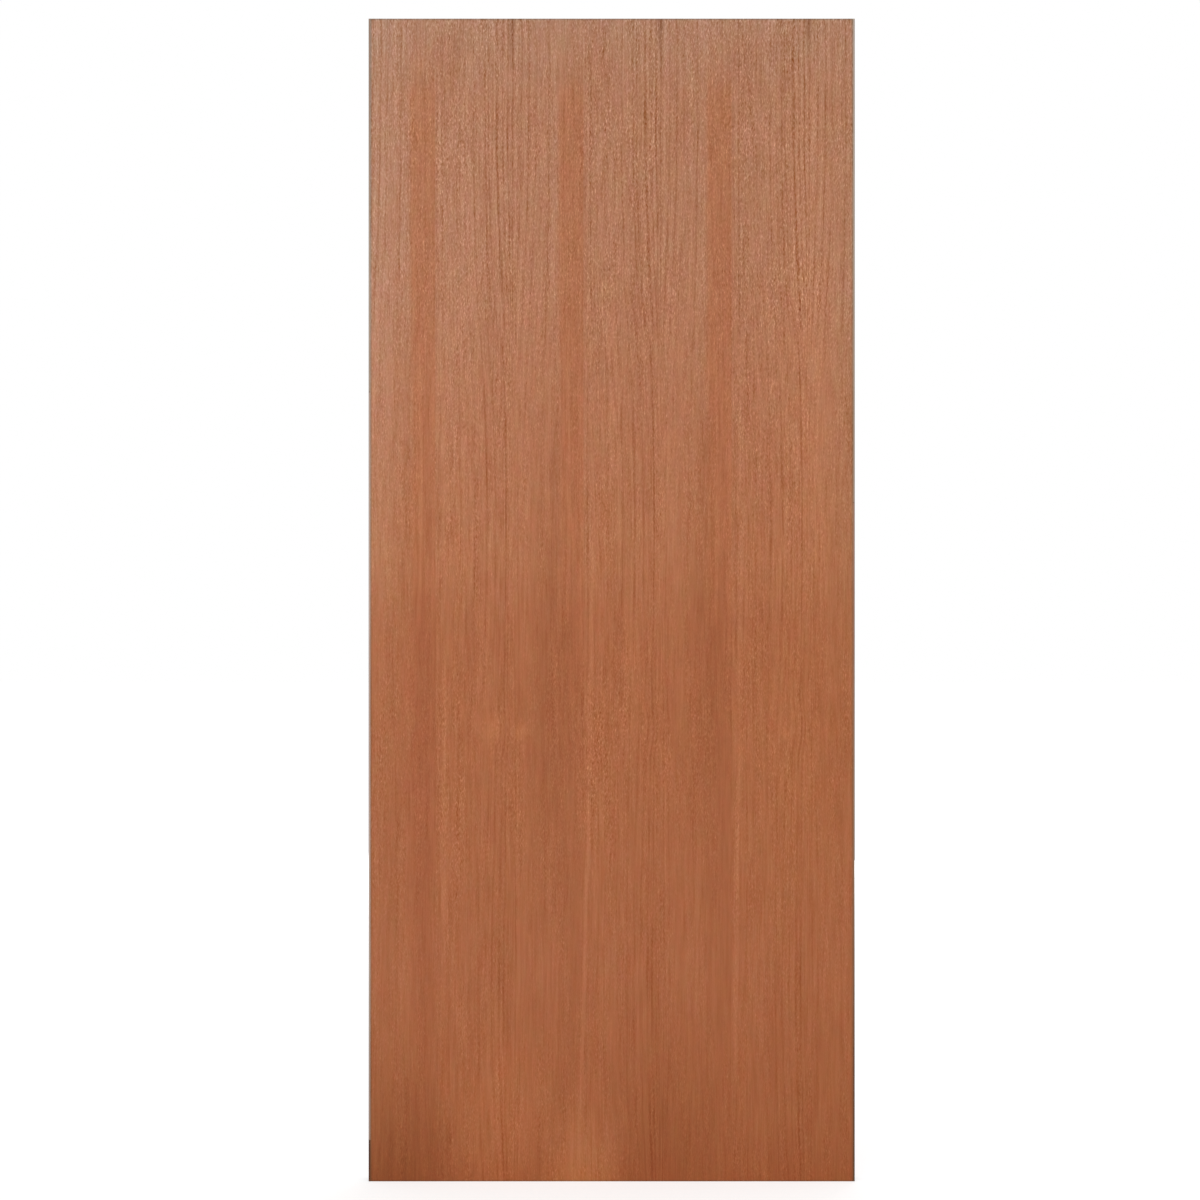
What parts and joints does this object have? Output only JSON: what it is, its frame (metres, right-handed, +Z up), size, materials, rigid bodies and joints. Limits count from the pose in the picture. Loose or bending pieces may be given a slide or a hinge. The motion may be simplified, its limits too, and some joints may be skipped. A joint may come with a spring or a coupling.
{
  "type": "blockboard door leaf",
  "caption": "Flush solid-core blockboard door leaf: softwood staves and stiles between crossbands and slip-matched reddish veneer, lipped on both long edges.",
  "frame": {"origin": "on the flat hinge edge, at the foot of the leaf and the middle of its thickness", "axes": "+Z up the leaf, +X across it from the hinge edge to the lock edge, +Y from the front face to the back"},
  "size_m": [0.853, 0.04, 2.04],
  "materials": {
    "face_veneer": "sliced reddish hardwood veneer, sanded and unfinished",
    "crossband": "rotary-cut ply, grain across the leaf, sawn and sanded at its edges",
    "core_stave": "pale softwood, sawn end grain",
    "stile": "pale softwood, sawn end grain",
    "lipping": "greyish unfinished timber, planed and finger-jointed",
    "lipping_dark": "dark brown heartwood length of the lipping"
  },
  "bodies": {
    "root": {"back_crossband": "crossband", "back_veneer_leaf_1": "face_veneer", "back_veneer_leaf_2": "face_veneer", "back_veneer_leaf_3": "face_veneer", "back_veneer_leaf_4": "face_veneer", "core_stave_01": "core_stave", "core_stave_02": "core_stave", "core_stave_03": "core_stave", "core_stave_04": "core_stave", "core_stave_05": "core_stave", "core_stave_06": "core_stave", "core_stave_07": "core_stave", "core_stave_08": "core_stave", "core_stave_09": "core_stave", "core_stave_10": "core_stave", "core_stave_11": "core_stave", "core_stave_12": "core_stave", "core_stave_13": "core_stave", "core_stave_14": "core_stave", "core_stave_15": "core_stave", "core_stave_16": "core_stave", "core_stave_17": "core_stave", "core_stave_18": "core_stave", "core_stave_19": "core_stave", "core_stave_20": "core_stave", "core_stave_21": "core_stave", "core_stave_22": "core_stave", "core_stave_23": "core_stave", "core_stave_24": "core_stave", "core_stave_25": "core_stave", "core_stave_26": "core_stave", "front_crossband": "crossband", "front_veneer_leaf_1": "face_veneer", "front_veneer_leaf_2": "face_veneer", "front_veneer_leaf_3": "face_veneer", "front_veneer_leaf_4": "face_veneer", "hinge_lipping_foot": "lipping_dark", "hinge_lipping_middle": "lipping", "hinge_lipping_top": "lipping", "hinge_stile": "stile", "lock_lipping_foot": "lipping_dark", "lock_lipping_middle": "lipping", "lock_lipping_top": "lipping", "lock_stile": "stile"}
  },
  "joints": []
}
